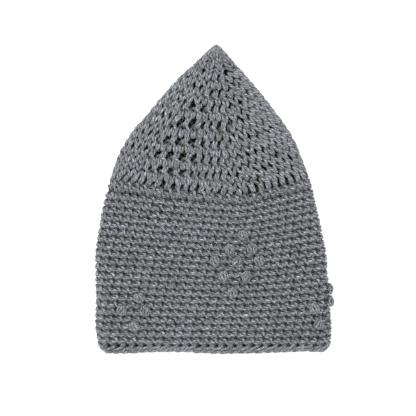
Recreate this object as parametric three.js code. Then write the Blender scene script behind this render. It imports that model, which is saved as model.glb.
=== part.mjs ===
// A crocheted cap with a pointed crown, laid flat on its back. Lengths are millimetres.
// X runs across the cap, Y from the hem to the tip, and Z up from the surface that it lies on.
// The origin is the middle of the face that the side rests on.
import * as THREE from 'three';
import { LoftGeometry } from 'three/addons/geometries/LoftGeometry.js';
import { mergeVertices } from 'three/addons/utils/BufferGeometryUtils.js';

// Driving dimensions
const LENGTH = 314; // hem to tip
const HALF_WIDTH = 120; // midline to fold, where the flat cap is widest
const WALL = 5; // thickness of the crochet
const HOLLOW = 7; // room between the two layers beside the folds
const PUFF = 2; // how much higher the top layer stands midway between the folds
const SIDE_DEPTH = 150; // hem to the crown's first round, at the lowest point of that round
const EDGING_DEPTH = 8; // width of the last round
const TIP_SOLID = 26; // the last stretch to the tip, where the layers meet
const LEFT_RISE = 15; // how far the crown's edge climbs to the left fold
const RIGHT_RISE = 19; // and to the right fold
const HEM_RISE = 8; // how far the hem curls up to each fold
const EDGING_RISE = 4; // how far the edging's upper edge does
const HEM_CURL = 7.5; // distance from the fold that this curl fades over
const HEM_WAVE = 2.2; // how far the hem rises between the places where it hangs lowest
const REST_POINT = 80; // hem to the origin
const SEAM_GAP = 0.3; // between pieces that touch
const BOBBLE_ACROSS = 11.5;
const BOBBLE_HEIGHT = 5; // how far a bobble stands out of the fabric
const STITCHES = 54; // in each round of the side
const ROUNDS = 21; // in the side
const BOBBLE_STEP = 2.5; // stitches from one bobble to the next in its row

// How finely the surfaces are divided
const FOLD_STEPS = 12;
const FLAT_STEPS = 16;
const FOLD_SHARE = 0.04; // of the way around that a fold takes
const CROWN_RINGS = 16;
const SIDE_RINGS = 10;
const BOBBLE_STEPS = 9;
const POINT_TOLERANCE = 1e-4;

// The flat cap's outline and height, from the hem up. up is a share of LENGTH, half and mid are
// shares of HALF_WIDTH, and height is a share of the lying height.
const SECTIONS = [
  { up: 0.0, half: 0.975, mid: 0.03, height: 1.0 },
  { up: 0.08, half: 1.0, mid: 0.02, height: 1.0 },
  { up: 0.197, half: 0.988, mid: 0.01, height: 1.0 },
  { up: 0.313, half: 0.981, mid: -0.002, height: 1.0 },
  { up: 0.429, half: 0.931, mid: -0.01, height: 1.0 },
  { up: 0.546, half: 0.858, mid: -0.01, height: 1.0 },
  { up: 0.662, half: 0.75, mid: -0.01, height: 0.98 },
  { up: 0.72, half: 0.662, mid: 0.0, height: 0.96 },
  { up: 0.778, half: 0.542, mid: 0.01, height: 0.93 },
  { up: 0.836, half: 0.422, mid: 0.015, height: 0.9 },
  { up: 0.894, half: 0.29, mid: 0.02, height: 0.85 },
  { up: 0.933, half: 0.19, mid: 0.03, height: 0.78 },
  { up: 0.971, half: 0.095, mid: 0.04, height: 0.64 },
  { up: 0.99, half: 0.047, mid: 0.045, height: 0.5 },
  { up: 1.0, half: 0.01, mid: 0.048, height: 0.36 },
];

// The rows of bobbles. round counts the side's rounds from the crown down, and across is the
// share of the way from the left fold to the right one, at the middle of the row.
const BOBBLE_ROWS = [
  { motif: 'front', round: 4.5, across: 0.64, count: 1 },
  { motif: 'front', round: 6.6, across: 0.627, count: 2 },
  { motif: 'front', round: 8.5, across: 0.608, count: 3 },
  { motif: 'front', round: 10.6, across: 0.597, count: 2 },
  { motif: 'front', round: 13.1, across: 0.582, count: 1 },
  { motif: 'left', round: 14.3, across: 0.2, count: 1 },
  { motif: 'left', round: 16.1, across: 0.176, count: 2 },
  { motif: 'left', round: 18.3, across: 0.18, count: 1 },
  { motif: 'right', round: 13.7, across: 1.0, count: 1 },
  { motif: 'right', round: 15.4, across: 0.995, count: 1 },
  { motif: 'right', round: 15.95, across: 0.915, count: 1 },
  { motif: 'right', round: 18.1, across: 0.93, count: 1 },
];

// A bobble from its base up. out is a share of half its width, high a share of its height.
const BOBBLE_PROFILE = [
  { out: 0.0, high: 0.0 },
  { out: 0.4, high: 0.0 },
  { out: 0.78, high: 0.02 },
  { out: 1.0, high: 0.3 },
  { out: 0.9, high: 0.66 },
  { out: 0.55, high: 0.93 },
  { out: 0.0, high: 1.0 },
];

// The rounded lower end of the hem. up is a share of WALL above the hem line, and in a share
// of WALL inwards from the outer surface.
const HEM_PROFILE = [
  { up: 0.5, in: 1.0 },
  { up: 0.12, in: 0.82 },
  { up: 0.0, in: 0.5 },
  { up: 0.12, in: 0.18 },
  { up: 0.5, in: 0.0 },
];

// The yarn's greys, a shade apart so that the pieces can be told from each other
const CROWN_GREY = 0x75767a;
const SIDE_GREY = 0x717276;
const EDGING_GREY = 0x7a7b80;
const BOBBLE_GREY = 0x85868b;

const LYING_HEIGHT = 2 * WALL + HOLLOW;
const LOW_POINT = 0.62; // share of the way across the front where each round hangs lowest
const RISE_POWER = 1.25; // how the rise gathers towards the folds
const FOLD_SOFTNESS = 0.055; // share of the way across that rounds the rise off over a fold
const WAVE_START = 0.05; // share of the way across where the hem first hangs lowest
const WAVE_LENGTH = 0.53; // and from there to where it does again

const sections = new THREE.CubicInterpolant(
  SECTIONS.map((row) => row.up),
  SECTIONS.flatMap((row) => [row.half, row.mid, row.height]),
  3,
);

// The section at a level above the hem: half width, midline and half height, and the radius of
// its two round folds.
function sectionAt(level) {
  const [half, mid, height] = sections.evaluate(level / LENGTH);
  const high = (height * LYING_HEIGHT) / 2;
  const wide = half * HALF_WIDTH;
  return { wide, mid: mid * HALF_WIDTH, high, fold: Math.min(wide, high) };
}

// How much wider a wall is when cut level than when measured square to the outline.
function slantAt(level) {
  const slope = sectionAt(level + 1).wide - sectionAt(level - 1).wide;
  return Math.hypot(1, slope / 2);
}

// Distance around the outer surface at a level.
function girthAt(level) {
  const { wide, fold } = sectionAt(level);
  return 4 * (wide - fold) + 2 * Math.PI * fold;
}

// A point of the fabric. place runs from 0 at the left fold over the top layer to 0.5 at the
// right fold, and on under the cap to 1. out is measured outwards from the outer surface.
function fabric(level, place, out) {
  const { wide, mid, high, fold } = sectionAt(level);
  const flat = 2 * (wide - fold);
  const quarter = (Math.PI * fold) / 2;
  const around = place * girthAt(level);
  const afterLeft = THREE.MathUtils.clamp(around - quarter, 0, flat);
  const afterRight = THREE.MathUtils.clamp(around - 3 * quarter - flat, 0, flat);
  const turned = (around - afterLeft - afterRight) / (fold || 1);
  const across = -Math.cos(turned);
  const upward = Math.sin(turned);
  const x = afterLeft - afterRight - flat / 2 + (fold + out * slantAt(level)) * across;
  const raised = PUFF * Math.max(upward, 0) ** 2 * Math.cos((Math.PI * x) / (2 * wide)) ** 2;
  return new THREE.Vector3(x + mid, level - REST_POINT, high + (high + out) * upward + raised);
}

// How far round the front a place is, from 0 at the left fold to 1 at the right one.
function acrossAt(place) {
  return place < 0.5 ? 2 * place : 2 - 2 * place;
}

// Each round hangs lowest near the middle and climbs to the two folds.
function crownEdge(place) {
  const across = acrossAt(place);
  const left = (LOW_POINT - Math.hypot(across, FOLD_SOFTNESS)) / LOW_POINT;
  const right = (1 - Math.hypot(1 - across, FOLD_SOFTNESS) - LOW_POINT) / (1 - LOW_POINT);
  const climb = across < LOW_POINT ? LEFT_RISE : RIGHT_RISE;
  return SIDE_DEPTH + climb * Math.max(left, right, 0) ** RISE_POWER;
}

// A curl that is 1 over each fold and fades away from it.
function curlAt(place) {
  const across = acrossAt(place);
  const fromFold = (Math.min(across, 1 - across) * girthAt(0)) / 2;
  return Math.exp(-((fromFold / HEM_CURL) ** 2));
}

// The hem waves gently, and curls up at each fold.
function hemEdge(place) {
  const waves = (acrossAt(place) - WAVE_START) / WAVE_LENGTH;
  return HEM_RISE * curlAt(place) + (HEM_WAVE * (1 - Math.cos(2 * Math.PI * waves))) / 2;
}

// The edging's upper edge curls with the hem, and more gently.
function edgingEdge(place) {
  return EDGING_DEPTH + EDGING_RISE * curlAt(place);
}

// The gap along Y beside a line around the cap, so that it is SEAM_GAP wide square to the line.
function gapBeside(line, place) {
  const step = 1 / girthAt(line(place));
  const slope = (line(place + step) - line(place - step)) / 2;
  return SEAM_GAP * Math.hypot(1, slope);
}

// The places around the cap where a ring has its points, closer together over the folds.
const PLACES = [];
for (const fold of [0, 0.5]) {
  for (let i = 0; i < FOLD_STEPS; i += 1) {
    PLACES.push((1 + fold + (i / FOLD_STEPS - 0.5) * FOLD_SHARE) % 1);
  }
  for (let i = 0; i < FLAT_STEPS; i += 1) {
    PLACES.push(fold + FOLD_SHARE / 2 + (i / FLAT_STEPS) * (0.5 - FOLD_SHARE));
  }
}

// A ring around the cap at the level that a line gives for each place.
function ring(line, out) {
  return PLACES.map((place) => fabric(line(place), place, out));
}

// Rings evenly spaced from one line to another, ends included.
function rings(lower, upper, count, out) {
  return Array.from({ length: count + 1 }, (_, i) => {
    const share = i / count;
    return ring((place) => lower(place) * (1 - share) + upper(place) * share, out);
  });
}

// A ring with all its points in one place.
function pole(point) {
  return PLACES.map(() => point);
}

// The surface through closed rings as one closed body. Faces that a pole leaves without an area
// are dropped.
function body(loops) {
  const geometry = new THREE.BufferGeometry().copy(new LoftGeometry(loops));
  geometry.deleteAttribute('normal');
  geometry.deleteAttribute('uv');
  const merged = mergeVertices(geometry, POINT_TOLERANCE);
  const index = merged.index.array;
  const kept = [];
  for (let i = 0; i < index.length; i += 3) {
    const [a, b, c] = index.slice(i, i + 3);
    if (a !== b && b !== c && c !== a) kept.push(a, b, c);
  }
  merged.setIndex(kept);
  merged.computeVertexNormals();
  return merged;
}

// The crown is a pointed shell, closed at the tip and open where it meets the side.
function crownGeometry() {
  const lower = (place) => crownEdge(place) + gapBeside(crownEdge, place);
  const outer = rings(lower, () => LENGTH, CROWN_RINGS, 0);
  const inner = rings(lower, () => LENGTH - TIP_SOLID, CROWN_RINGS, -WALL).reverse();
  const tip = fabric(LENGTH, 0, 0).lerp(fabric(LENGTH, 0.5, 0), 0.5);
  const hollowTip = new THREE.Vector3().addVectors(inner[0][0], inner[0][PLACES.length / 2]);
  hollowTip.multiplyScalar(0.5).y += WALL / 2;
  return body([...outer, pole(tip), pole(hollowTip), ...inner, outer[0]]);
}

// The side is a tube, open at both ends.
function sideGeometry() {
  const lower = (place) => edgingEdge(place) + gapBeside(edgingEdge, place);
  const outer = rings(lower, crownEdge, SIDE_RINGS, 0);
  const inner = rings(lower, crownEdge, SIDE_RINGS, -WALL).reverse();
  return body([...outer, ...inner, outer[0]]);
}

// The edging is a short tube with a rounded lower end.
function edgingGeometry() {
  const end = HEM_PROFILE.map((row) => ring((place) => hemEdge(place) + row.up * WALL, -row.in * WALL));
  const outer = ring(edgingEdge, 0);
  const inner = ring(edgingEdge, -WALL);
  return body([...end, outer, inner, end[0]]);
}

// A bobble is a dome on the outer surface, centred on a level and a place.
function bobbleGeometry(level, place) {
  const girth = girthAt(level);
  const loops = BOBBLE_PROFILE.map((row) =>
    Array.from({ length: BOBBLE_STEPS }, (_, i) => {
      const angle = (2 * Math.PI * i) / BOBBLE_STEPS;
      const reach = (row.out * BOBBLE_ACROSS) / 2;
      const aside = place + (reach * Math.cos(angle)) / girth;
      return fabric(level + reach * Math.sin(angle), aside, SEAM_GAP + row.high * BOBBLE_HEIGHT);
    }),
  );
  return body(loops);
}

// The level of a round of the side at a place, counted in rounds from the crown down.
function roundLevel(round, place) {
  const share = round / ROUNDS;
  return crownEdge(place) * (1 - share) + edgingEdge(place) * share;
}

const cap = new THREE.Group();
cap.name = 'kufi';

// Adds a piece of matt wool in its own shade of grey.
function add(name, geometry, color) {
  const yarn = new THREE.MeshStandardMaterial({ color, roughness: 0.95, metalness: 0 });
  const mesh = new THREE.Mesh(geometry, yarn);
  mesh.name = name;
  cap.add(mesh);
}

add('crown', crownGeometry(), CROWN_GREY);
add('side', sideGeometry(), SIDE_GREY);
add('edging', edgingGeometry(), EDGING_GREY);

const made = {};
for (const { motif, round, across, count } of BOBBLE_ROWS) {
  for (let i = 0; i < count; i += 1) {
    const aside = (i - (count - 1) / 2) * (BOBBLE_STEP / STITCHES);
    const place = across / 2 + aside;
    made[motif] = (made[motif] || 0) + 1;
    const name = `${motif}_bobble_${made[motif]}`;
    add(name, bobbleGeometry(roundLevel(round, place), place), BOBBLE_GREY);
  }
}

export default cap;
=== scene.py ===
"""A crocheted cap with a pointed crown, lying flat on its back on a pale floor.

Every round of stitches is one closed strand of yarn that runs through bends, which are given for
one stitch and carried around the cap. The tables are in millimetres and in shares of a stitch,
and the meshes are in metres.
"""

import logging
from dataclasses import dataclass
from enum import Enum
from functools import cached_property
from typing import NamedTuple

import bpy
import numpy as np
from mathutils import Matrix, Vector
from numpy.typing import NDArray


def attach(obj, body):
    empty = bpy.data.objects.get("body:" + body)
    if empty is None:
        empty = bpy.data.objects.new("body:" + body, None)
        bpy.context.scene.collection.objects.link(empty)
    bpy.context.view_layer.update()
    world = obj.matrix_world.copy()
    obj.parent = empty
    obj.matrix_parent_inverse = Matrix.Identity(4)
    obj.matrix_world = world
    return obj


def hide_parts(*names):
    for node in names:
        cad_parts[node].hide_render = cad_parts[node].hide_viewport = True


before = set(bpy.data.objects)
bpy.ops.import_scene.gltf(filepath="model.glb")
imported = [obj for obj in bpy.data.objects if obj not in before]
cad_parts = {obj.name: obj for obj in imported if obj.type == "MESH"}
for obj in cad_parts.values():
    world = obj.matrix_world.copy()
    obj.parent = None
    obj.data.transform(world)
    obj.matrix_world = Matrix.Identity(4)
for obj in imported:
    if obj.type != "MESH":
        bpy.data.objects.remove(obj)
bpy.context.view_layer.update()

Array = NDArray[np.float64]
Random = np.random.Generator
Socket = bpy.types.NodeSocket
Value = float | tuple[float, ...] | Socket
METRES = 0.001  # one millimetre
BODY = "root"
log = logging.getLogger("cap")


class Section(NamedTuple):
    """A level of the flat cap, in shares.

    up is one of its length, half and mid are of its half width, and height of its lying height.
    """

    up: float
    half: float
    mid: float
    height: float


class Bend(NamedTuple):
    """A point that the yarn goes through, in one stitch.

    across is in stitch widths to the right, down in rounds towards the hem, and out in
    millimetres outwards from the middle of the fabric.
    """

    across: float
    down: float
    out: float


Stitch = tuple[Bend, ...]


class CrownRound(NamedTuple):
    """A round of the crown.

    level, left and right say where it ends: the level of its lowest point, and its climb to the
    left and right folds. edges are the sides of its stitches in the wedge that faces up, from
    left to right in millimetres from the cap's midline, and others counts its other stitches.
    """

    level: float
    left: float
    right: float
    edges: tuple[float, ...]
    others: int


class Loops(NamedTuple):
    """A row of loops in a round of the crown.

    start and depth say where the loops begin and how deep they are, in rounds, and width is in
    millimetres. thickness is a share of the yarn's full one, and slant a share of the round's
    lean. The bends are given for a loop of depth one.
    """

    start: float
    depth: float
    width: float
    thickness: float
    slant: float
    bends: Stitch


class Run(NamedTuple):
    """Stitches side by side.

    edges are the places of their sides, and bends those of one stitch. thickness is a share of
    the yarn's full one, and slant a share of the round's lean. In a run of posts the bends
    closer than firm to a stitch's middle spread no further than a post is wide.
    """

    edges: Array
    bends: Array
    thickness: float
    slant: float = 1.0
    firm: float = 0.0


class BobbleRow(NamedTuple):
    """A row of bobbles in one of the cap's motifs.

    round counts the side's rounds from the crown down, and across is the share of the way from
    the left fold to the right one.
    """

    motif: str
    round: float
    across: float
    count: int


@dataclass(frozen=True)
class CapForm:
    """The outer surface of the cap as it lies, in millimetres.

    A point of it is named by its level above the hem and its place around the cap, which runs
    from 0 at the left fold over the top layer to 0.5 at the right fold, and on under to 1.
    low_point, wave_start, wave_length and fold_softness are shares of the way across the cap.
    """

    length: float = 314.0
    half_width: float = 120.0
    wall: float = 5.0
    hollow: float = 7.0  # between the two layers beside the folds
    puff: float = 2.0  # how much higher the top layer stands midway between them
    core: float = 0.4  # the nearest that yarn comes to the middle of the cap
    side_depth: float = 150.0
    edging_depth: float = 8.0
    left_rise: float = 15.0
    right_rise: float = 19.0
    hem_rise: float = 8.0
    edging_rise: float = 4.0
    hem_curl: float = 7.5
    hem_wave: float = 2.2
    wave_start: float = 0.05
    wave_length: float = 0.53
    rest_point: float = 80.0  # the origin's level
    low_point: float = 0.62  # where rounds hang lowest
    rise_power: float = 1.25
    fold_softness: float = 0.055
    side_rounds: int = 21
    sections: tuple[Section, ...] = (
        Section(0.0, 0.975, 0.03, 1.0), Section(0.08, 1.0, 0.02, 1.0),
        Section(0.197, 0.988, 0.01, 1.0), Section(0.313, 0.981, -0.002, 1.0),
        Section(0.429, 0.931, -0.01, 1.0), Section(0.546, 0.858, -0.01, 1.0),
        Section(0.662, 0.75, -0.01, 0.98), Section(0.72, 0.662, 0.0, 0.96),
        Section(0.778, 0.542, 0.01, 0.93), Section(0.836, 0.422, 0.015, 0.9),
        Section(0.894, 0.29, 0.02, 0.85), Section(0.933, 0.19, 0.03, 0.78),
        Section(0.971, 0.095, 0.04, 0.64), Section(0.99, 0.047, 0.045, 0.5),
        Section(1.0, 0.01, 0.048, 0.36),
    )

    @cached_property
    def knots(self) -> tuple[Array, Array, Array]:
        """The table's levels, values and slopes.

        Each slope is that of the chord between the neighbours, and both ends are straight.

        Returns:
            An array of levels, and two with a row for each level.
        """
        table = np.array(self.sections)
        up, value = table[:, 0], table[:, 1:]
        slope = np.empty_like(value)
        slope[1:-1] = (value[2:] - value[:-2]) / (up[2:] - up[:-2])[:, None]
        slope[0] = 1.5 * (value[1] - value[0]) / (up[1] - up[0]) - slope[1] / 2
        slope[-1] = 1.5 * (value[-1] - value[-2]) / (up[-1] - up[-2]) - slope[-2] / 2
        return up, value, slope

    def section(self, level: Array) -> tuple[Array, Array, Array, Array]:
        """The half width, midline, half height and fold radius at each level.

        Each value is the cubic through its two neighbours in the table, with their slopes.

        Args:
            level: Heights above the hem.

        Returns:
            Four arrays of the levels' shape.
        """
        up, value, slope = self.knots
        share = np.clip(level / self.length, 0.0, 1.0)
        i = np.clip(np.searchsorted(up, share) - 1, 0, len(up) - 2)
        step = up[i + 1] - up[i]
        t = ((share - up[i]) / step)[..., None]
        step = step[..., None]
        values = (
            (1 + 2 * t) * (1 - t) ** 2 * value[i]
            + t * (1 - t) ** 2 * step * slope[i]
            + t**2 * (3 - 2 * t) * value[i + 1]
            + t**2 * (t - 1) * step * slope[i + 1]
        )
        wide = values[..., 0] * self.half_width
        high = values[..., 2] * (2 * self.wall + self.hollow) / 2
        return wide, values[..., 1] * self.half_width, high, np.minimum(wide, high)

    def girth(self, level: Array) -> Array:
        """The distance around the outer surface: two flats and two round folds."""
        wide, _, _, fold = self.section(level)
        return 4 * (wide - fold) + 2 * np.pi * fold

    def surface(self, level: Array, place: Array, out: Array) -> Array:
        """Points of the fabric.

        The section is a flat band with a half circle at each end. A place walks along it by
        length, and the top layer is raised by the square of a cosine across the cap. At the
        tip, where the fabric is thicker than the cap, nothing passes the core.

        Args:
            level: Heights above the hem.
            place: Places around the cap, in turns.
            out: Distances outwards from the outer surface.

        Returns:
            Points in millimetres, with X, Y and Z in the last dimension.
        """
        level, place, out = np.broadcast_arrays(level, place, out)
        wide, mid, high, fold = self.section(level)
        slope = (self.section(level + 1)[0] - self.section(level - 1)[0]) / 2
        flat = 2 * (wide - fold)
        quarter = np.pi * fold / 2
        around = (place % 1.0) * (2 * flat + 4 * quarter)
        after_left = np.clip(around - quarter, 0, flat)
        after_right = np.clip(around - 3 * quarter - flat, 0, flat)
        turned = (around - after_left - after_right) / fold
        across, upward = -np.cos(turned), np.sin(turned)
        reach = np.maximum(fold + out * np.hypot(1, slope), self.core) * across
        x = after_left - after_right - flat / 2 + reach
        crest = np.cos(np.clip(np.pi * x / (2 * wide), -np.pi / 2, np.pi / 2))
        rise = np.maximum(high + out, self.core) * upward
        z = high + rise + self.puff * np.maximum(upward, 0) ** 2 * crest**2
        return np.stack([x + mid, level - self.rest_point, z], axis=-1)

    def place_over(self, x: Array, level: Array) -> Array:
        """The places on the top layer at distances to the right of the cap's midline."""
        wide, mid, _, fold = self.section(level)
        return (x - mid + wide - fold + np.pi * fold / 2) / self.girth(level)

    def across(self, place: Array) -> Array:
        """The share of the way from the left fold to the right one, on either layer."""
        return 1 - np.abs(1 - 2 * (place % 1.0))

    def climb(self, place: Array, left: Array, right: Array) -> Array:
        """How far a round that hangs lowest near the middle has climbed towards the folds.

        It grows with a power of the distance from the low point, rounded off over the folds.

        Args:
            place: Places around the cap.
            left: The climb to the left fold.
            right: The climb to the right fold.

        Returns:
            Heights above the round's lowest point.
        """
        across, low = self.across(place), self.low_point
        to_left = (low - np.hypot(across, self.fold_softness)) / low
        to_right = (1 - np.hypot(1 - across, self.fold_softness) - low) / (1 - low)
        share = np.maximum(np.maximum(to_left, to_right), 0) ** self.rise_power
        return np.where(across < low, left, right) * share

    def crown_edge(self, place: Array) -> Array:
        """The level where the crown ends and the side begins."""
        return self.side_depth + self.climb(place, self.left_rise, self.right_rise)

    def curl(self, place: Array) -> Array:
        """A curl that is 1 over each fold and fades away from it as a bell curve."""
        across = self.across(place)
        aside = np.minimum(across, 1 - across) * self.girth(np.zeros(1))[0] / 2
        return np.exp(-((aside / self.hem_curl) ** 2))

    def hem_edge(self, place: Array) -> Array:
        """The level of the hem, which waves gently and curls up at each fold."""
        waves = (self.across(place) - self.wave_start) / self.wave_length
        return self.hem_rise * self.curl(place) + self.hem_wave * (1 - np.cos(2 * np.pi * waves)) / 2

    def edging_edge(self, place: Array) -> Array:
        """The level where the side ends and the edging begins."""
        return self.edging_depth + self.edging_rise * self.curl(place)

    def side_level(self, rounds: Array, place: Array) -> Array:
        """The level of a round of the side: rounds share the way from crown to edging evenly."""
        share = rounds / self.side_rounds
        return self.crown_edge(place) * (1 - share) + self.edging_edge(place) * share


@dataclass(frozen=True)
class MeshData:
    """A tube's points, its four-sided faces and a UV pair for each corner of them.

    heights gives each point's height over the middle of the fabric, in millimetres, which the wool's
    painted shade goes by.
    """

    points: Array
    faces: NDArray[np.int64]
    corners: Array
    heights: Array

    @staticmethod
    def joined(parts: list["MeshData"]) -> "MeshData":
        """Several meshes as one, each keeping its own points."""
        starts = np.cumsum([0] + [len(part.points) for part in parts[:-1]])
        return MeshData(
            np.concatenate([part.points for part in parts]),
            np.concatenate([part.faces + start for part, start in zip(parts, starts)]),
            np.concatenate([part.corners for part in parts]),
            np.concatenate([part.heights for part in parts]),
        )

    def make(self, name: str, finish: bpy.types.Material) -> bpy.types.Object:
        """Puts the mesh into a new object at the origin.

        Args:
            name: The piece's name.
            finish: Its material.

        Returns:
            The new object.
        """
        mesh = bpy.data.meshes.new(name)
        mesh.vertices.add(len(self.points))
        mesh.vertices.foreach_set("co", self.points.astype(np.float32).ravel())
        mesh.loops.add(self.faces.size)
        mesh.loops.foreach_set("vertex_index", self.faces.astype(np.int32).ravel())
        mesh.polygons.add(len(self.faces))
        sides = self.faces.shape[1]
        mesh.polygons.foreach_set("loop_start", np.arange(0, self.faces.size, sides, dtype=np.int32))
        mesh.polygons.foreach_set("use_smooth", np.ones(len(self.faces), dtype=bool))
        mesh.uv_layers.new(name="yarn").data.foreach_set("uv", self.corners.astype(np.float32).ravel())
        mesh.update(calc_edges=True)
        heights = mesh.attributes.new("height", "FLOAT", "POINT")
        heights.data.foreach_set("value", self.heights.astype(np.float32))
        mesh.validate()
        mesh.materials.append(finish)
        piece = bpy.data.objects.new(name, mesh)
        bpy.context.scene.collection.objects.link(piece)
        return piece


@dataclass(frozen=True)
class Yarn:
    """The strand that everything is worked from, in millimetres."""

    thickness: float = 2.84
    sides: int = 6
    unevenness: float = 0.05  # how far the thickness strays, as a share
    tries: int = 400  # how many directions are tried for the steady one
    wound: float = 3000.0  # length in the ball that a strand may start at

    def smooth(self, bends: Array, steps: int) -> Array:
        """A closed curve through points, by the Catmull-Rom formula.

        Args:
            bends: The points, one a row.
            steps: How many points of the curve each stretch between two bends gets.

        Returns:
            The curve's points.
        """
        t = (np.arange(steps) / steps)[:, None]
        before, start = np.roll(bends, 1, axis=0)[:, None], bends[:, None]
        end, after = np.roll(bends, -1, axis=0)[:, None], np.roll(bends, -2, axis=0)[:, None]
        curve = 0.5 * (
            2 * start
            + (end - before) * t
            + (2 * before - 5 * start + 4 * end - after) * t**2
            + (3 * start - before - 3 * end + after) * t**3
        )
        return curve.reshape(-1, bends.shape[1])

    def steady_direction(self, tangents: Array) -> Array:
        """The direction that the strand never points along.

        Of many directions spread evenly over half a ball by the golden angle, it is the one
        whose smallest angle to any tangent is the largest.

        Args:
            tangents: Unit tangents in the fabric's own directions.

        Returns:
            One unit vector in the same directions.
        """
        index = np.arange(self.tries) + 0.5
        height = 1 - index / self.tries
        angle = index * np.pi * (3 - np.sqrt(5))
        ring = np.sqrt(1 - height**2)
        tries = np.stack([ring * np.cos(angle), ring * np.sin(angle), height], axis=1)
        return tries[np.argmin(np.max(np.abs(tangents @ tries.T), axis=0))]

    def strand(
        self, bends: Array, axes: Array, out: Array, steps: int, scale: Array, random: Random
    ) -> MeshData:
        """A closed tube of yarn through bends.

        A regular ring of points is carried along the curve, turned so that its first point
        keeps to a direction that the curve never takes.

        Args:
            bends: Points in millimetres.
            axes: The fabric's own three directions at each bend, as the rows of a matrix.
            out: The bends' heights over the middle of the fabric.
            steps: Rings between two bends.
            scale: The yarn's thickness at each bend, as a share of its full one.
            random: What the unevenness is drawn from.

        Returns:
            The mesh in metres, with the length along the yarn in metres as U, from somewhere
            in the ball on.
        """
        curve = self.smooth(np.column_stack([bends, out]), steps)
        curve, out = curve[:, :3], curve[:, 3]
        tangent = np.roll(curve, -1, axis=0) - np.roll(curve, 1, axis=0)
        tangent /= np.linalg.norm(tangent, axis=1, keepdims=True)
        axes = np.repeat(axes, steps, axis=0)
        steady = self.steady_direction(np.einsum("nij,nj->ni", axes, tangent))
        first = np.cross(tangent, np.einsum("nij,i->nj", axes, steady))
        first /= np.linalg.norm(first, axis=1, keepdims=True)
        second = np.cross(tangent, first)
        count = len(curve)
        uneven = 1 + self.unevenness * random.standard_normal(count)
        radius = np.repeat(scale, steps) * uneven * self.thickness / 2
        angle = 2 * np.pi * np.arange(self.sides) / self.sides
        around = first[:, None] * np.cos(angle)[:, None] + second[:, None] * np.sin(angle)[:, None]
        offset = radius[:, None, None] * around
        points = curve[:, None] + offset
        heights = out[:, None] + np.einsum("nsj,nj->ns", offset, axes[:, 2])
        i = np.arange(count)[:, None]
        j = np.arange(self.sides)[None, :]
        side = (j + 1) % self.sides
        this, following = i * self.sides, (i + 1) % count * self.sides
        faces = np.stack([this + j, this + side, following + side, following + j], axis=-1)
        lengths = np.linalg.norm(np.roll(curve, -1, axis=0) - curve, axis=1)
        gone = np.concatenate([[0], np.cumsum(lengths)]) + random.uniform(0, self.wound)
        along = np.stack([gone[i], gone[i], gone[i + 1], gone[i + 1]], axis=-1) * METRES
        turn = np.stack([j, j + 1, j + 1, j], axis=-1) / self.sides
        corners = np.stack(np.broadcast_arrays(along, turn), axis=-1)
        return MeshData(
            points.reshape(-1, 3) * METRES, faces.reshape(-1, 4), corners.reshape(-1, 2), heights.ravel()
        )


class Heather(Enum):
    """The shades of the wool: the noise that picks each, and its linear colour."""

    SHADOW = (0.3, (0.022, 0.024, 0.028))
    STONE = (0.44, (0.11, 0.104, 0.102))
    GREY = (0.52, (0.137, 0.148, 0.168))
    FROST = (0.72, (0.3, 0.335, 0.385))


@dataclass(frozen=True)
class Wiring:
    """Sets up nodes, whose inputs go by name or number."""

    tree: bpy.types.NodeTree

    def feed(self, node: bpy.types.Node, values: dict[str | int, Value]) -> bpy.types.Node:
        """Gives a node what it works from.

        Args:
            node: The node.
            values: Each input's value, or the output that it is linked to.

        Returns:
            The node.
        """
        for name, value in values.items():
            if isinstance(value, Socket):
                self.tree.links.new(value, node.inputs[name])
            else:
                node.inputs[name].default_value = value
        return node

    def add(self, kind: str, values: dict[str | int, Value], **settings: str) -> bpy.types.Node:
        """Adds a node.

        Args:
            kind: What it is.
            values: What it works from.
            settings: How it works.

        Returns:
            The node.
        """
        node = self.tree.nodes.new(f"ShaderNode{kind}")
        for name, setting in settings.items():
            setattr(node, name, setting)
        return self.feed(node, values)

    def math(self, operation: str, *values: Value) -> Socket:
        """The result of an operation on one or two values."""
        return self.add("Math", dict(enumerate(values)), operation=operation).outputs[0]

    def line(self, value: Socket, slope: float, start: Value) -> Socket:
        """A value times a slope, added to a start."""
        return self.math("ADD", self.math("MULTIPLY", value, slope), start)

    def noise(self, x: Socket, y: Socket, detail: float) -> Socket:
        """Noise over a pair of values."""
        pair = self.add("CombineXYZ", {0: x, 1: y}).outputs[0]
        return self.add("TexNoise", {"Vector": pair, "Scale": 1.0, "Detail": detail}).outputs["Fac"]

    def shades(self, value: Socket) -> Socket:
        """The colour that a value picks from the shades of the wool."""
        ramp = self.add("ValToRGB", {0: value})
        stops = ramp.color_ramp.elements
        for shade in Heather:
            noise, colour = shade.value
            stops.new(noise).color = (*colour, 1)
        stops.remove(stops[0])
        stops.remove(stops[-1])
        return ramp.outputs[0]


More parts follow.
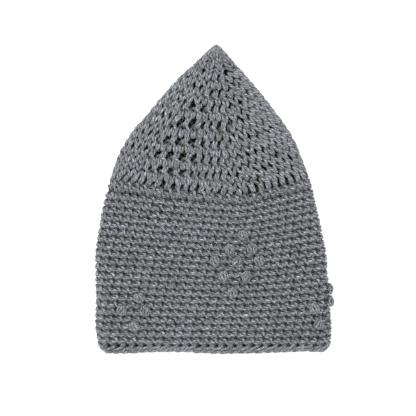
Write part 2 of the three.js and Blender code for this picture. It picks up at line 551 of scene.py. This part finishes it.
@dataclass(frozen=True)
class WoolFinish:
    """A matt heather yarn of several plies.

    lay, marl and bump_depth are metres. deep and proud are the heights over the middle of the
    fabric, in millimetres, where the painted shade on the yarn is darkest and where it ends.
    """

    name: str
    # lightness paints this copy of the one wool lighter or darker than the other pieces' copies: painted
    # light and shade.
    lightness: float = 1.0
    plies: int = 4
    lay: float = 0.016  # one turn of a ply around the yarn
    marl: float = 0.0035  # one change of shade
    marl_share: float = 0.6  # the rest of the shade is the fibres'
    ply_apart: float = 17.3  # from ply to ply in the noise
    fineness: float = 3.0  # fibres in a marl's length
    fibre_count: float = 1.5  # fibres across a ply
    ridge: float = 1.05  # painted shade: how much lighter a ply's crest is painted than its groove
    # the colour's share in the grooves between plies: painted shade
    groove: float = 0.27
    deep: float = -0.8
    proud: float = 3.0
    painted_gloom: float = 0.1  # the share of the colour left where the painted shade is darkest
    sheen: float = 0.1
    sheen_roughness: float = 0.5
    gloss: float = 0.25
    roughness: float = 0.75
    fibre_roughness: float = 0.2
    bump: float = 0.8
    bump_depth: float = 0.0006
    fibre_bump: float = 0.5

    def make(self) -> bpy.types.Material:
        """Builds the material.

        The UV map gives the length along the yarn and the turn around it. Their sum, with one
        turn for each lay, says which ply a point is on and where across it. Each ply draws its
        tone from noise along the yarn, has painted shade in the grooves between plies, and carries
        fine fibres. Yarn deep in the fabric gets painted shade, darker than yarn that stands proud of it.

        Returns:
            The material.
        """
        material = bpy.data.materials.new(self.name)
        material.use_nodes = True
        wiring = Wiring(material.node_tree)
        math = wiring.math
        uv = wiring.add("UVMap", {}, uv_map="yarn")
        split = wiring.add("SeparateXYZ", {0: uv.outputs[0]})
        along, turn = split.outputs[0], split.outputs[1]
        turns = math("ADD", math("DIVIDE", along, self.lay), turn)
        twisted = math("MULTIPLY", math("FRACT", turns), self.plies)
        ply = math("MULTIPLY", math("FLOOR", twisted), self.ply_apart)
        crest = math("SINE", math("MULTIPLY", math("FRACT", twisted), np.pi))
        marl = wiring.noise(math("DIVIDE", along, self.marl), ply, 1.0)
        fine = math("DIVIDE", along, self.marl / self.fineness)
        fibre = wiring.noise(fine, math("MULTIPLY", twisted, self.fibre_count), 2.0)
        shade = wiring.line(marl, self.marl_share, math("MULTIPLY", fibre, 1 - self.marl_share))

        # Painted shade: the colour is darkened by the yarn's height over the middle of the fabric.
        height = wiring.add("Attribute", {}, attribute_name="height").outputs["Fac"]
        heights = {"From Min": self.deep, "From Max": self.proud, "To Min": self.painted_gloom, "Value": height}
        light = wiring.add("MapRange", heights, interpolation_type="SMOOTHSTEP").outputs["Result"]
        # Painted shade in the grooves between plies, lighter on each ply's crest.
        painted_groove_shade = wiring.line(crest, self.ridge * self.lightness, self.groove * self.lightness)
        scale = {0: wiring.shades(shade), "Scale": math("MULTIPLY", painted_groove_shade, light)}
        rough = wiring.line(fibre, self.fibre_bump, crest)
        bump = {"Strength": self.bump, "Distance": self.bump_depth, "Height": rough}
        surface = {
            "Base Color": wiring.add("VectorMath", scale, operation="SCALE").outputs[0],
            "Roughness": wiring.line(fibre, self.fibre_roughness, self.roughness),
            "Specular IOR Level": self.gloss,
            "Sheen Weight": self.sheen,
            "Sheen Roughness": self.sheen_roughness,
            "Normal": wiring.add("Bump", bump).outputs[0],
        }
        wiring.feed(wiring.tree.nodes["Principled BSDF"], surface)
        return material


@dataclass(frozen=True)
class Piece:
    """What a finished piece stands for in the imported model."""

    name: str
    slot: str
    replaces: tuple[str, ...]

    def place(self, mesh: MeshData, finish: bpy.types.Material) -> None:
        """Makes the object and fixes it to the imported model.

        Args:
            mesh: Its shape.
            finish: Its material.
        """
        made = mesh.make(self.name, finish)
        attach(made, BODY)
        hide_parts(*self.replaces)
        log.info("%s: %d faces", self.name, len(mesh.faces))


@dataclass(frozen=True)
class Fabric:
    """Carries the bends of stitches onto the cap. Lengths are millimetres."""

    form: CapForm
    yarn: Yarn
    nudge: float = 0.025  # how far stitches differ across and down, in stitches
    shift: float = 0.12  # how far they differ outwards
    own_share: float = 0.6  # of these, for each bend on its own
    soft: float = 2.5  # yarn lower than this is squeezed
    sunk: float = 1.8  # how far below the floor it would reach
    turn_step: float = 0.001  # for the direction along a round, in turns

    def vary(self, bends: Array, count: int, random: Random, looseness: float = 1.0) -> tuple[Array, ...]:
        """Stitches that are each a little different, by a draw a stitch and one a bend.

        Args:
            bends: The bends of one stitch.
            count: How many stitches there are.
            random: What the differences are drawn from.
            looseness: How strong they are.

        Returns:
            How far across, down and out the bends are, with a row for each stitch.
        """
        spread = looseness * np.array([self.nudge, self.nudge, self.shift])
        whole = random.standard_normal((count, 1, 3)) * spread
        each = random.standard_normal((count, *bends.shape)) * spread * self.own_share
        return tuple(np.moveaxis(bends + whole + each, 2, 0))

    def round_of(
        self, place: Array, level: Array, out: Array, steps: int, scale: Array, random: Random
    ) -> MeshData:
        """One closed strand through points of the fabric.

        The cap rests on the floor at height zero. Yarn that would reach below it is squeezed,
        with everything under the soft height, into the room above the floor.

        Args:
            place: The bends' places around the cap.
            level: Their levels.
            out: Their distances outwards from the middle of the fabric.
            steps: Rings of the tube between two bends.
            scale: The yarn's thickness at each bend, as a share.
            random: What the unevenness is drawn from.

        Returns:
            The strand.
        """
        place, level, height = place.ravel(), level.ravel(), out.ravel()
        out = height - self.form.wall / 2
        points = self.form.surface(level, place, out)
        before = self.form.surface(level, place - self.turn_step, out)
        beside = self.form.surface(level, place + self.turn_step, out) - before
        beside /= np.linalg.norm(beside, axis=1, keepdims=True)
        outward = self.form.surface(level, place, out + 1) - points
        outward -= np.sum(outward * beside, axis=1, keepdims=True) * beside
        outward /= np.linalg.norm(outward, axis=1, keepdims=True)
        axes = np.stack([beside, np.cross(outward, beside), outward], axis=1)
        mesh = self.yarn.strand(points, axes, height, steps, scale.ravel(), random)
        under = np.maximum(self.soft * METRES - mesh.points[:, 2], 0)
        mesh.points[:, 2] += under * self.sunk / (self.soft + self.sunk)
        return mesh


SINGLE_CROCHET: Stitch = (
    Bend(-0.38, -0.14, -1.1), Bend(-0.46, 0.07, 0.8), Bend(-0.3, 0.08, 1.9),
    Bend(-0.26, 0.16, 1.6), Bend(-0.18, 0.5, 0.6), Bend(0.01, 0.62, 1.7),
    Bend(0.18, 0.75, 0.0), Bend(0.29, 0.97, -0.9), Bend(0.6, 0.97, -1.7),
    Bend(0.72, 0.8, -1.3), Bend(0.6, 0.67, -0.2), Bend(0.54, 0.46, 1.3),
    Bend(0.43, 0.43, 1.9), Bend(0.24, 0.38, 1.3), Bend(0.07, 0.32, -0.2),
    Bend(-0.04, 0.22, -0.5), Bend(0.04, 0.09, -1.5), Bend(0.35, 0.06, -0.3),
    Bend(0.5, 0.25, -1.4), Bend(0.32, 0.62, -1.9), Bend(0.03, 0.91, -0.8),
    Bend(-0.02, 0.79, 0.1), Bend(0.33, 0.51, 0.9), Bend(0.57, 0.83, -0.6),
    Bend(0.74, 0.85, -1.1), Bend(0.77, 0.51, -2.0), Bend(0.63, -0.03, -2.0),
)

SLANTED_LOOP: Stitch = (
    Bend(-0.42, 0.02, 0.3), Bend(-0.3, 0.3, 1.3), Bend(-0.17, 0.62, 1.5),
    Bend(-0.06, 0.92, 0.8), Bend(0.0, 1.1, -0.6), Bend(0.07, 0.92, 0.8),
    Bend(0.18, 0.6, 1.5), Bend(0.31, 0.28, 1.3), Bend(0.42, 0.02, 0.3),
    Bend(0.5, -0.15, -0.9),
)

KNUCKLE: Stitch = (
    Bend(-0.32, 0.1, 0.1), Bend(-0.24, 0.36, 1.5), Bend(-0.2, 0.68, 1.6),
    Bend(-0.08, 0.96, 0.8), Bend(0.1, 0.94, 0.8), Bend(0.18, 0.66, 1.7),
    Bend(0.2, 0.34, 1.6), Bend(0.3, 0.08, 0.2), Bend(0.5, 0.2, -1.2),
)


@dataclass(frozen=True)
class Crown:
    """The pointed crown, in rounds of double crochet worked from the tip down.

    In the wedge that faces up, a round has posts with eyelets between them, a slanting bar
    under each post, and then a row of knuckles. The rest of the round is dense: two rows of
    slanted loops, with the yarn of the posts carried behind them. The first round is loops
    only, round a small eye at the tip, and the last has posts all the way round with single
    crochet under them. leans are pairs of a place, in turns past the wedge's right end, and the
    lean of the stitches there. Thicknesses are shares of the yarn's full one.
    """

    fabric: Fabric
    # The crown's wool has its own depth and darkest share for the painted shade, and is painted a touch
    # darker.
    finish: WoolFinish = WoolFinish("crown_wool", lightness=0.99, deep=-1.2, painted_gloom=0.15)
    seed: int = 1
    steps: int = 1  # rings of the tube between two bends
    looseness: float = 1.4  # how much its stitches differ
    post_width: float = 8.8  # in millimetres
    post_share: float = 0.82  # the most that a post takes of its stitch
    firm: float = 0.45
    thickness: float = 1.1
    bar_thickness: float = 1.05
    first_lower: int = 7  # the round where the lower piece starts
    open_row: Loops = Loops(0.7, 0.46, 6.1, 1.12, 1.0, KNUCKLE)
    dense_rows: tuple[Loops, Loops] = (
        Loops(0.2, 0.5, 7.6, 1.2, 1.0, SLANTED_LOOP),
        Loops(0.7, 0.5, 7.6, 1.2, 1.0, SLANTED_LOOP),
    )
    eye: Loops = Loops(0.0, 0.0, 8.0, 0.9, 0.0, (Bend(0.0, 0.0, 1.0),))
    first_rows: tuple[Loops, ...] = tuple(
        Loops(start, 0.25, 6.0, 1.0, 1.0, SLANTED_LOOP) for start in (0.0, 0.19, 0.38, 0.57, 0.76, 0.94)
    )
    last_reach: float = 0.7  # depth of the last round's posts, as a share
    last_row: Loops = Loops(0.46, 0.54, 8.6, 1.12, 0.0, SINGLE_CROCHET)
    leans: tuple[tuple[float, float], ...] = (
        (-0.02, 0.0), (0.06, 1.1), (0.24, 1.1), (0.34, 0.0), (0.62, 0.0), (0.68, -0.3), (0.72, 0.0),
    )
    rounds: tuple[CrownRound, ...] = (
        CrownRound(313.5, 0.0, 0.0, (5.0, 7.0), 8),
        CrownRound(286.0, 10.0, 9.0, (5.0, 10.0), 9),
        CrownRound(269.0, 12.0, 13.0, (0.5, 7.5, 14.5), 16),
        CrownRound(253.0, 10.0, 16.0, (-8.1, 0.5, 8.1, 15.8), 22),
        CrownRound(237.5, 11.6, 20.0, (-31.0, -19.8, -6.4, 1.8, 8.8, 16.0), 26),
        CrownRound(217.5, 12.0, 24.0, (-42.0, -31.5, -18.8, -6.9, -0.3, 8.1, 17.0), 31),
        CrownRound(201.0, 14.7, 27.0, (-56.0, -46.5, -32.3, -19.8, -6.9, -0.8, 8.1, 16.5), 35),
        CrownRound(183.6, 16.7, 26.0, (-66.0, -56.2, -42.5, -29.2, -17.3, -8.4, 0.3, 7.7, 15.3), 39),
        CrownRound(
            168.7, 19.5, 22.0,
            (-71.5, -62.5, -53.6, -41.2, -29.0, -19.2, -12.6, -4.7, 2.2, 9.2, 16.8), 41,
        ),
        CrownRound(
            150.0, 15.0, 19.0,
            (-77.0, -68.6, -59.8, -49.8, -38.1, -28.5, -22.4, -14.2, -5.9, 1.0, 9.0, 17.1), 43,
        ),
    )
    post: Stitch = (
        Bend(-0.12, 0.6, -1.3), Bend(0.0, 0.2, -1.4), Bend(-0.06, 0.12, 0.2),
        Bend(-0.1, 0.24, 1.3), Bend(-0.18, 0.38, 1.6), Bend(-0.26, 0.5, 1.2),
        Bend(-0.3, 0.6, 0.1), Bend(-0.15, 0.66, -0.9), Bend(0.04, 0.6, 0.3),
        Bend(0.08, 0.5, 1.3), Bend(0.16, 0.38, 1.6), Bend(0.24, 0.26, 1.4),
        Bend(0.28, 0.15, 0.3), Bend(0.3, 0.08, -1.0), Bend(0.3, 0.25, -2.2),
        Bend(0.5, 0.5, -2.9),
    )
    bar: Stitch = (
        Bend(-0.35, 0.46, -0.6), Bend(-0.17, 0.47, 1.0), Bend(-0.02, 0.54, 1.7),
        Bend(0.13, 0.63, 1.9), Bend(0.27, 0.73, 1.5), Bend(0.37, 0.82, 0.4),
        Bend(0.5, 0.62, -1.3),
    )
    carried: Stitch = (Bend(0.0, 0.5, -1.8),)

    def edges(self, number: int) -> Array:
        """The places of the stitches' sides in a round.

        The wedge that faces up has its own, which hold a quarter of the way down the round. The
        other stitches share the rest evenly.

        Args:
            number: The round, from 1 at the tip.

        Returns:
            Places from the left end of the wedge that faces up, all the way round to it again.
        """
        this, last = self.rounds[number], self.rounds[number - 1]
        level = np.full(len(this.edges), (3 * last.level + this.level) / 4)
        wedge = self.fabric.form.place_over(np.array(this.edges), level)
        rest = wedge[0] + 1 - wedge[-1]
        others = wedge[-1] + rest * np.arange(1, this.others + 1) / this.others
        return np.concatenate([wedge, others])

    def level(self, rounds: Array, place: Array) -> Array:
        """The level of a point between two rounds' ends, and its climb, by straight shares."""
        table = np.array([row[:3] for row in self.rounds])
        numbers = np.arange(len(table))
        low, left, right = (np.interp(rounds, numbers, column) for column in table.T)
        return low + self.fabric.form.climb(place, left, right)

    def build(self) -> None:
        """Works all the rounds and makes the two pieces, which together are the crown."""
        finish = self.finish.make()
        random = np.random.default_rng(self.seed)
        eye = self.row(1, [self.loops(1, 0.0, 1.0, self.eye)], np.random.default_rng(self.seed))
        upper, lower = range(1, self.first_lower), range(self.first_lower, len(self.rounds))
        for part, numbers, meshes in (("upper", upper, [eye]), ("lower", lower, [])):
            meshes += [strand for number in numbers for strand in self.work(number, random)]
            piece = Piece(f"crown_{part}_crochet", "crown_yarn", ("crown",))
            piece.place(MeshData.joined(meshes), finish)

    def work(self, number: int, random: Random) -> list[MeshData]:
        """One round.

        Args:
            number: The round, from 1 at the tip.
            random: What the stitches' differences are drawn from.

        Returns:
            The strands of its rows, from the tip's side on.
        """
        edges = self.edges(number)
        end = edges[0] + 1
        if number == 1:
            rows = [[self.loops(number, edges[0], end, loops)] for loops in self.first_rows]
        elif number == len(self.rounds) - 1:
            post = np.array(self.post) * (1, self.last_reach, 1)
            rows = [[Run(edges, post, self.thickness, firm=self.firm)]]
            rows += [[self.loops(number, edges[0], end, self.last_row)]]
        else:
            wedge = edges[: len(self.rounds[number].edges)]
            upper, lower = (self.loops(number, wedge[-1], end, loops) for loops in self.dense_rows)
            posts = Run(wedge, np.array(self.post), self.thickness, firm=self.firm)
            carried = Run(upper.edges, np.array(self.carried), self.thickness)
            bars = Run(wedge, np.array(self.bar), self.bar_thickness)
            knuckles = self.loops(number, wedge[0], wedge[-1], self.open_row)
            rows = [[posts, carried], [bars, upper], [knuckles, lower]]
        return [self.row(number, runs, random) for runs in rows]

    def loops(self, number: int, start: float, end: float, loops: Loops) -> Run:
        """Loops between two places.

        Args:
            number: The round, from 1 at the tip.
            start: The first place.
            end: The last place.
            loops: The loops, whose width is rounded to fit.

        Returns:
            The run.
        """
        count = max(1, round((end - start) * self.girth(number) / loops.width))
        bends = np.array(loops.bends) * (1, loops.depth, 1) + (0, loops.start, 0)
        return Run(np.linspace(start, end, count + 1), bends, loops.thickness, loops.slant)

    def girth(self, number: int) -> float:
        """The distance around the cap in the middle of a round."""
        levels = np.array([self.rounds[number - 1].level, self.rounds[number].level])
        return float(self.fabric.form.girth(levels).mean())

    def row(self, number: int, runs: list[Run], random: Random) -> MeshData:
        """One row of a round.

        Every stitch is sheared by the lean at its place, in posts' widths for each round down.

        Args:
            number: The round, from 1 at the tip.
            runs: The row's stitches, from the left end of the wedge all the way round.
            random: What the stitches' differences are drawn from.

        Returns:
            The row's strand.
        """
        wedge = self.edges(number)[len(self.rounds[number].edges) - 1]
        post = self.post_width / self.girth(number)
        gone, lean = np.array(self.leans).T
        measures = []
        for run in runs:
            start, width = run.edges[:-1, None], np.diff(run.edges)[:, None]
            across, down, out = self.fabric.vary(run.bends, len(start), random, self.looseness)
            firm = np.abs(run.bends[:, 0]) < run.firm
            spread = np.where(firm, np.minimum(post, width * self.post_share), width)
            place = start + width / 2 + across * spread
            place += (down - 0.5) * np.interp(place - wedge, gone, lean * run.slant) * post
            thickness = np.full_like(out, run.thickness)
            measures.append(np.stack([place, number - 1 + down, out, thickness], axis=-1).reshape(-1, 4))
        place, rounds, out, thickness = np.concatenate(measures).T
        level = self.level(rounds, place)
        return self.fabric.round_of(place, level, out, self.steps, thickness, random)


@dataclass(frozen=True)
class Side:
    """The side, in rounds of single crochet."""

    fabric: Fabric
    crown: Crown
    # The side's copy of the wool is painted lighter than the other pieces': painted light.
    finish: WoolFinish = WoolFinish("side_wool", lightness=1.15)
    seed: int = 11
    steps: int = 1
    stitches: int = 54
    lean: float = -0.2  # how far each round moves on, in stitches
    settle: float = 8.0  # rounds until the stitches are evenly spaced
    parts: tuple[str, ...] = ("upper", "middle", "lower")
    bends: Stitch = SINGLE_CROCHET

    def place(self, across: Array, number: int) -> Array:
        """The places of a round's bends.

        Near the crown the stitches stand below the crown's own, and further down they even out.

        Args:
            across: How far across its stitch each bend is, with a row for each stitch.
            number: The round, from 0 at the crown.

        Returns:
            Places around the cap.
        """
        stitch = np.arange(self.stitches)[:, None] + 0.5 + across + self.lean * number
        edges = self.crown.edges(len(self.crown.rounds) - 1)
        turns, within = np.divmod(stitch, self.stitches)
        crowded = turns + np.interp(within, np.arange(self.stitches + 1), edges)
        offset = np.mean(edges[:-1] - np.arange(self.stitches) / self.stitches)
        even = stitch / self.stitches + offset
        share = np.clip(number / self.settle, 0, 1)
        share = share * share * (3 - 2 * share)
        return crowded * (1 - share) + even * share

    def work(self, number: int, random: Random) -> MeshData:
        """One round.

        Args:
            number: The round, from 0 at the crown.
            random: What the stitches' differences are drawn from.

        Returns:
            The round's strand.
        """
        across, down, out = self.fabric.vary(np.array(self.bends), self.stitches, random)
        place = self.place(across, number)
        level = self.fabric.form.side_level(number + down, place)
        return self.fabric.round_of(place, level, out, self.steps, np.ones_like(out), random)

    def build(self) -> None:
        """Works all the rounds and makes them as three bands, which together are the side."""
        finish = self.finish.make()
        random = np.random.default_rng(self.seed)
        share = self.fabric.form.side_rounds // len(self.parts)
        for i, part in enumerate(self.parts):
            meshes = [self.work(number, random) for number in range(i * share, (i + 1) * share)]
            Piece(f"side_{part}_crochet", "side_yarn", ("side",)).place(MeshData.joined(meshes), finish)


@dataclass(frozen=True)
class Edging:
    """The last round, whose loops lie along the hem like a braid."""

    fabric: Fabric
    side: Side
    finish: WoolFinish = WoolFinish("edging_wool")
    seed: int = 23
    steps: int = 2
    bends: Stitch = (
        Bend(-0.78, 0.58, -0.2), Bend(-0.55, 0.55, 0.9), Bend(-0.25, 0.47, 1.6),
        Bend(0.08, 0.37, 1.8), Bend(0.38, 0.25, 1.5), Bend(0.6, 0.14, 0.7),
        Bend(0.7, 0.0, -0.2), Bend(0.6, -0.14, 0.4), Bend(0.42, -0.06, 0.9),
        Bend(0.3, 0.08, 0.4), Bend(0.1, 0.36, -1.2), Bend(-0.3, 0.22, -1.2),
        Bend(-0.5, 0.7, -1.3), Bend(-0.64, 0.88, -0.2), Bend(-0.36, 0.9, 0.9),
        Bend(0.0, 0.83, 1.3), Bend(0.34, 0.74, 1.3), Bend(0.66, 0.62, 0.5),
        Bend(0.64, 0.5, -1.2),
    )

    def build(self) -> None:
        """Works the round and makes the piece."""
        random = np.random.default_rng(self.seed)
        form, side = self.fabric.form, self.side
        across, down, out = self.fabric.vary(np.array(self.bends), side.stitches, random)
        place = side.place(across, form.side_rounds)
        level = form.edging_edge(place) * (1 - down) + form.hem_edge(place) * down
        mesh = self.fabric.round_of(place, level, out, self.steps, np.ones_like(out), random)
        Piece("edging_crochet", "edging_yarn", ("edging",)).place(mesh, self.finish.make())


@dataclass(frozen=True)
class Bobbles:
    """The round bobbles, each a strand wound up and down over a dome, in millimetres."""

    fabric: Fabric
    side: Side
    # The bobbles' wool has painted shade over heights of its own, so their sides are painted darker, and
    # it is painted lighter.
    finish: WoolFinish = WoolFinish("bobble_wool", lightness=1.05, deep=1.4, proud=6.6, painted_gloom=0.25)
    seed: int = 31
    across: float = 11.5
    height: float = 5.0
    stretch: float = 1.05  # how much longer than wide it is
    steps: int = 2
    leans: tuple[float, ...] = (-66.0, -22.0, 22.0, 66.0)  # of the half circles, in degrees
    pole: float = 64.0  # where they end, in degrees from the top
    turn_points: int = 7
    base: float = 0.8  # how far out the strand returns underneath, as a share
    base_points: int = 4
    thickness: float = 0.95  # as a share of the yarn's full one
    wobble: float = 0.3
    tilt: float = 0.5  # how far bobbles are turned, in radians
    step: float = 2.5  # from bobble to bobble in a row, in stitches
    rows: tuple[BobbleRow, ...] = (
        BobbleRow("front", 4.5, 0.64, 1),
        BobbleRow("front", 6.6, 0.627, 2),
        BobbleRow("front", 8.5, 0.608, 3),
        BobbleRow("front", 10.6, 0.597, 2),
        BobbleRow("front", 13.1, 0.582, 1),
        BobbleRow("left", 14.3, 0.2, 1),
        BobbleRow("left", 16.1, 0.176, 2),
        BobbleRow("left", 18.3, 0.18, 1),
        BobbleRow("right", 13.7, 1.0, 1),
        BobbleRow("right", 15.4, 0.995, 1),
        BobbleRow("right", 15.95, 0.915, 1),
        BobbleRow("right", 18.1, 0.93, 1),
    )

    def build(self) -> None:
        """Makes every bobble where its row and its place in the row put it."""
        finish = self.finish.make()
        random = np.random.default_rng(self.seed)
        made: dict[str, int] = {}
        for row in self.rows:
            for i in range(row.count):
                place = row.across / 2 + (i - (row.count - 1) / 2) * self.step / self.side.stitches
                made[row.motif] = made.get(row.motif, 0) + 1
                node = f"{row.motif}_bobble_{made[row.motif]}"
                level = float(self.fabric.form.side_level(np.array(row.round), np.array(place)))
                piece = Piece(f"{node}_crochet", "bobble_yarn", (node,))
                piece.place(self.wind(level, place, random), finish)

    def wind(self, level: float, place: float, random: Random) -> MeshData:
        """One bobble.

        The strand runs over the dome from pole to pole along half circles that share the two
        poles, down one and up the next, and returns underneath. The whole is then turned by a
        small angle of its own.

        Args:
            level: The bobble's level.
            place: Its place around the cap.
            random: What its unevenness is drawn from.

        Returns:
            The bobble's strand.
        """
        thick = self.fabric.yarn.thickness * self.thickness
        reach = (self.across - thick) / 2
        top = self.height - thick / 2
        lean = np.radians(self.leans)[:, None]
        ways = np.where(np.arange(len(self.leans)) % 2, -1, 1)[:, None]
        pole = np.radians(np.linspace(-self.pole, self.pole, self.turn_points)) * ways
        aside = reach * np.cos(pole) * np.sin(lean)
        up = -reach * self.stretch * np.sin(pole)
        out = top * np.cos(pole) * np.cos(lean) + thick / 4
        over = np.reshape([aside, up, out], (3, -1))
        back = np.linspace(self.base, -self.base, self.base_points) * reach
        under = np.broadcast_arrays(back, reach * self.base, -thick / 2)
        aside, up, out = np.concatenate([over, under], axis=1)
        wobble = random.standard_normal((3, len(out))) * self.wobble
        tilt = random.normal(0, self.tilt)
        form = self.fabric.form
        girth = form.girth(np.array([level]))[0]
        return self.fabric.round_of(
            place + (aside * np.cos(tilt) - up * np.sin(tilt) + wobble[0]) / girth,
            level + aside * np.sin(tilt) + up * np.cos(tilt) + wobble[1],
            out + wobble[2] + form.wall / 2,
            self.steps,
            np.full(len(out), self.thickness),
            random,
        )


@dataclass(frozen=True)
class Studio:
    """The floor, the soft light and the camera straight above. Lengths are metres."""

    floor_size: float = 6.0
    floor_drop: float = 0.0001  # how far it lies below the cap
    floor_grey: float = 0.9
    floor_roughness: float = 0.9
    floor_gloss: float = 0.1
    centre: tuple[float, float] = (-0.00305, 0.0675)
    height: float = 1.5
    view_width: float = 0.4231  # what the camera sees at the height of the cap
    cap_height: float = 0.012
    sky: float = 1.9
    lamp_size: float = 0.9
    lamp_power: float = 14.0  # in watts
    lamp_place: tuple[float, float, float] = (-0.7, 1.0, 1.3)
    lamp_aim: tuple[float, float, float] = (0.0, 0.07, 0.0)

    def build(self) -> None:
        """Makes the floor, the lights and the camera."""
        scene = bpy.context.scene
        scene.view_settings.view_transform = "Standard"
        self.lay_floor()
        self.light()
        data = bpy.data.cameras.new("camera")
        data.lens = data.sensor_width * (self.height - self.cap_height) / self.view_width
        camera = bpy.data.objects.new("camera", data)
        camera.location = (*self.centre, self.height)
        scene.collection.objects.link(camera)
        scene.camera = camera

    def lay_floor(self) -> None:
        """A pale matt sheet just below the cap."""
        half = self.floor_size / 2
        mesh = bpy.data.meshes.new("floor")
        corners = [(-half, -half), (half, -half), (half, half), (-half, half)]
        mesh.from_pydata([(x, y, -self.floor_drop) for x, y in corners], [], [(0, 1, 2, 3)])
        material = bpy.data.materials.new("pale_floor")
        material.use_nodes = True
        surface = {
            "Base Color": (self.floor_grey, self.floor_grey, self.floor_grey, 1),
            "Roughness": self.floor_roughness,
            "Specular IOR Level": self.floor_gloss,
        }
        Wiring(material.node_tree).feed(material.node_tree.nodes["Principled BSDF"], surface)
        mesh.materials.append(material)
        floor = bpy.data.objects.new("floor", mesh)
        bpy.context.scene.collection.objects.link(floor)

    def light(self) -> None:
        """An even pale sky, with one wide lamp high on the upper left."""
        world = bpy.data.worlds.new("studio")
        world.use_nodes = True
        white = {"Color": (1.0, 1.0, 1.0, 1.0), "Strength": self.sky}
        Wiring(world.node_tree).feed(world.node_tree.nodes["Background"], white)
        bpy.context.scene.world = world
        lamp = bpy.data.lights.new("window", "AREA")
        lamp.shape = "DISK"
        lamp.size = self.lamp_size
        lamp.energy = self.lamp_power
        window = bpy.data.objects.new("window", lamp)
        window.location = self.lamp_place
        aim = np.array(self.lamp_aim) - np.array(window.location)
        window.rotation_euler = Vector(aim).to_track_quat("-Z", "Y").to_euler()
        bpy.context.scene.collection.objects.link(window)


def main() -> None:
    """Builds the studio and then the cap's pieces in order."""
    logging.basicConfig(level=logging.INFO, format="%(name)s %(message)s")
    Studio().build()
    fabric = Fabric(CapForm(), Yarn())
    crown = Crown(fabric)
    side = Side(fabric, crown)
    crown.build()
    side.build()
    Edging(fabric, side).build()
    Bobbles(fabric, side).build()


if __name__ == "__main__":
    main()
